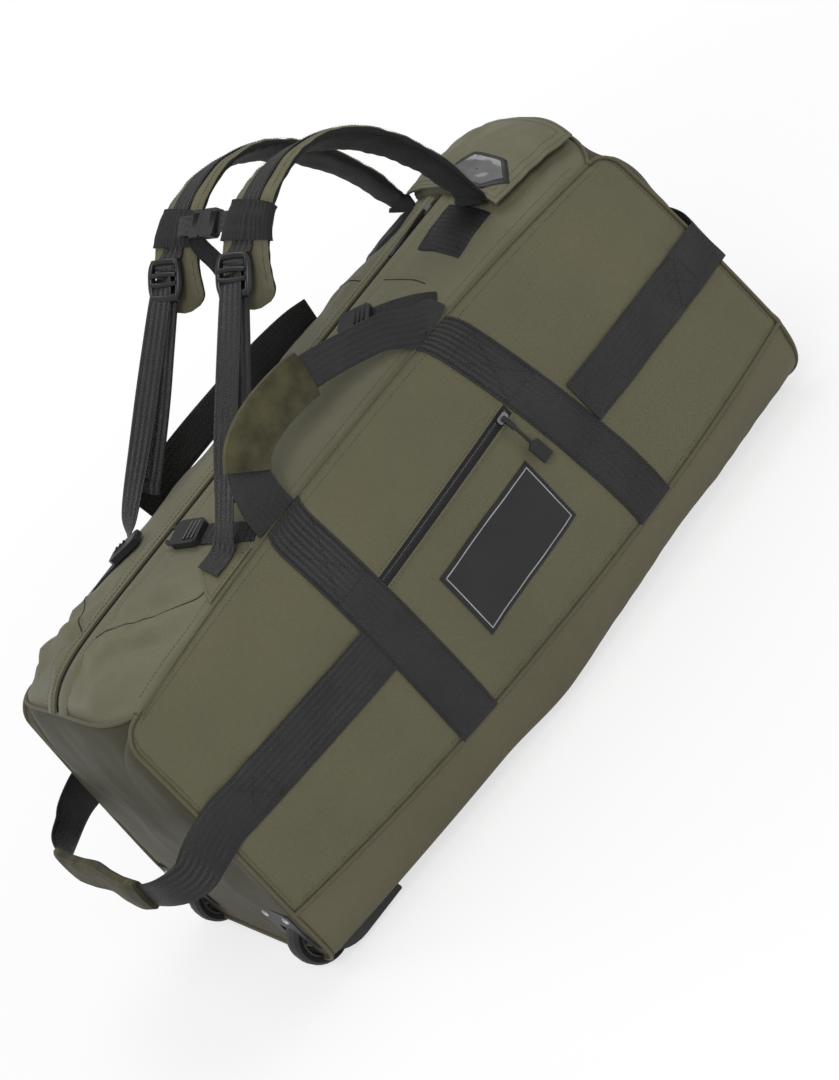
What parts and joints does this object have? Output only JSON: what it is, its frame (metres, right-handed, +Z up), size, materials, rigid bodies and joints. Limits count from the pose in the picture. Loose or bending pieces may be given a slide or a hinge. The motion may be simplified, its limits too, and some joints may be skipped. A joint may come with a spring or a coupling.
{
  "type": "rolling duffel bag",
  "caption": "Soft rolling duffel bag on corner wheels, with padded shoulder straps, carry handles, a straight lid zip, a side pocket and a small lid pocket.",
  "frame": {"origin": "on the floor under the middle of the body, on the flat of the bottom panel", "axes": "+X to the pull end, -X to the wheels, -Y to the side pocket, +Z up through the lid"},
  "size_m": [0.9113, 0.3652, 0.5754],
  "materials": {
    "olive_cloth": "woven polyester with a fine rib",
    "lid_cloth": "smooth coated weave",
    "coated_bottom": "coated cloth",
    "webbing": "woven webbing",
    "black_plastic": "moulded, fine texture",
    "wheel_rubber": "smooth tread",
    "steel": "plated",
    "board": "hidden sheet",
    "label": "moulded patch"
  },
  "bodies": {
    "bag": {"axle_far": "steel", "axle_near": "steel", "band_pull_end": "webbing", "base_board": "board", "bottom_panel": "coated_bottom", "foot_far": "black_plastic", "foot_near": "black_plastic", "housing_screw_far_a": "steel", "housing_screw_far_b": "steel", "housing_screw_near_a": "steel", "housing_screw_near_b": "steel", "ladder_lock_far": "black_plastic", "ladder_lock_near": "black_plastic", "lid_panel_far": "lid_cloth", "lid_panel_near": "lid_cloth", "lid_pocket": "lid_cloth", "lower_webbing_far": "webbing", "lower_webbing_near": "webbing", "main_zip": "webbing", "pad_webbing_far": "webbing", "pad_webbing_near": "webbing", "pocket_zip": "webbing", "pull_end_panel": "olive_cloth", "shoulder_pad_far": "olive_cloth", "shoulder_pad_near": "olive_cloth", "side_panel_far": "olive_cloth", "side_panel_near": "olive_cloth", "side_patch": "label", "sternum_plug": "black_plastic", "sternum_socket": "black_plastic", "sternum_strap_far": "webbing", "sternum_strap_near": "webbing", "storm_flap": "lid_cloth", "webbing_lower_far": "webbing", "webbing_lower_near": "webbing", "webbing_upper_far": "webbing", "webbing_upper_near": "webbing", "wheel_end_grip": "olive_cloth", "wheel_end_loop": "webbing", "wheel_end_panel": "olive_cloth", "wheel_housing_far": "black_plastic", "wheel_housing_near": "black_plastic"},
    "wheel_near": {"tyre_near": "wheel_rubber", "hub_near": "black_plastic"},
    "wheel_far": {"tyre_far": "wheel_rubber", "hub_far": "black_plastic"},
    "main_slider": {"main_zip_slider": "steel"},
    "main_pull": {"main_zip_pull": "webbing"},
    "pocket_slider": {"pocket_zip_slider": "steel"},
    "pocket_pull": {"pocket_zip_pull": "black_plastic"},
    "carry_handle_near": {"carry_loop_near": "webbing", "carry_grip_near": "olive_cloth"},
    "carry_handle_far": {"carry_loop_far": "webbing"},
    "pocket_flap": {"lid_pocket_flap": "lid_cloth"},
    "strap_near_upper": {"compression_strap_near_upper": "webbing", "compression_buckle_near_upper": "black_plastic"},
    "strap_near_lower": {"compression_strap_near_lower": "webbing", "compression_buckle_near_lower": "black_plastic"},
    "strap_far_lower": {"compression_strap_far_lower": "webbing", "compression_buckle_far_lower": "black_plastic"}
  },
  "joints": [
    {"name": "wheel_spin_near", "type": "hinge", "parent": "bag", "child": "wheel_near", "pos_m": [-0.3814, -0.104, 0.0325], "axis": [0, 1, 0], "continuous": true},
    {"name": "wheel_spin_far", "type": "hinge", "parent": "bag", "child": "wheel_far", "pos_m": [-0.3814, 0.104, 0.0325], "axis": [0, 1, 0], "continuous": true},
    {"name": "main_zip_slide", "type": "slide", "parent": "bag", "child": "main_slider", "axis": [0.9988, 0, 0.0479], "range_m": [-0.54, 0]},
    {"name": "main_pull_hinge", "type": "hinge", "parent": "main_slider", "child": "main_pull", "pos_m": [0.23972, -0.0053, 0.40291], "axis": [0, 1, 0], "range_deg": [0, 100]},
    {"name": "pocket_zip_slide", "type": "slide", "parent": "bag", "child": "pocket_slider", "axis": [0.9976, 0.0087, 0.0689], "range_m": [-0.19, 0]},
    {"name": "pocket_pull_hinge", "type": "hinge", "parent": "pocket_slider", "child": "pocket_pull", "pos_m": [0.08745, -0.16093, 0.25978], "axis": [-0.9976, -0.0087, -0.0689], "range_deg": [0, 100]},
    {"name": "carry_near_hinge", "type": "hinge", "parent": "bag", "child": "carry_handle_near", "pos_m": [-0.14, -0.12401, 0.35492], "axis": [0.9998, 0.0095, 0.0198], "range_deg": [0, 145], "stiffness_Nm_per_rad": 0.12},
    {"name": "carry_far_hinge", "type": "hinge", "parent": "bag", "child": "carry_handle_far", "pos_m": [-0.14, 0.12401, 0.35492], "axis": [-0.9998, 0.0095, -0.0198], "range_deg": [0, 110], "stiffness_Nm_per_rad": 0.06},
    {"name": "pocket_flap_hinge", "type": "hinge", "parent": "bag", "child": "pocket_flap", "pos_m": [0.33348, 0.05822, 0.39737], "axis": [-0.9935, -0.0015, 0.1142], "range_deg": [0, 110]},
    {"name": "strap_near_upper_hinge", "type": "hinge", "parent": "bag", "child": "strap_near_upper", "pos_m": [0.14, -0.103, 0.36938], "axis": [0.769, 0.6392, 0], "range_deg": [0, 100]},
    {"name": "strap_near_lower_hinge", "type": "hinge", "parent": "bag", "child": "strap_near_lower", "pos_m": [-0.166, -0.109, 0.35952], "axis": [0.9451, 0.3267, 0], "range_deg": [0, 11]},
    {"name": "strap_far_lower_hinge", "type": "hinge", "parent": "bag", "child": "strap_far_lower", "pos_m": [-0.266, 0.103, 0.35556], "axis": [-0.6345, -0.7729, 0], "range_deg": [0, 100]}
  ]
}
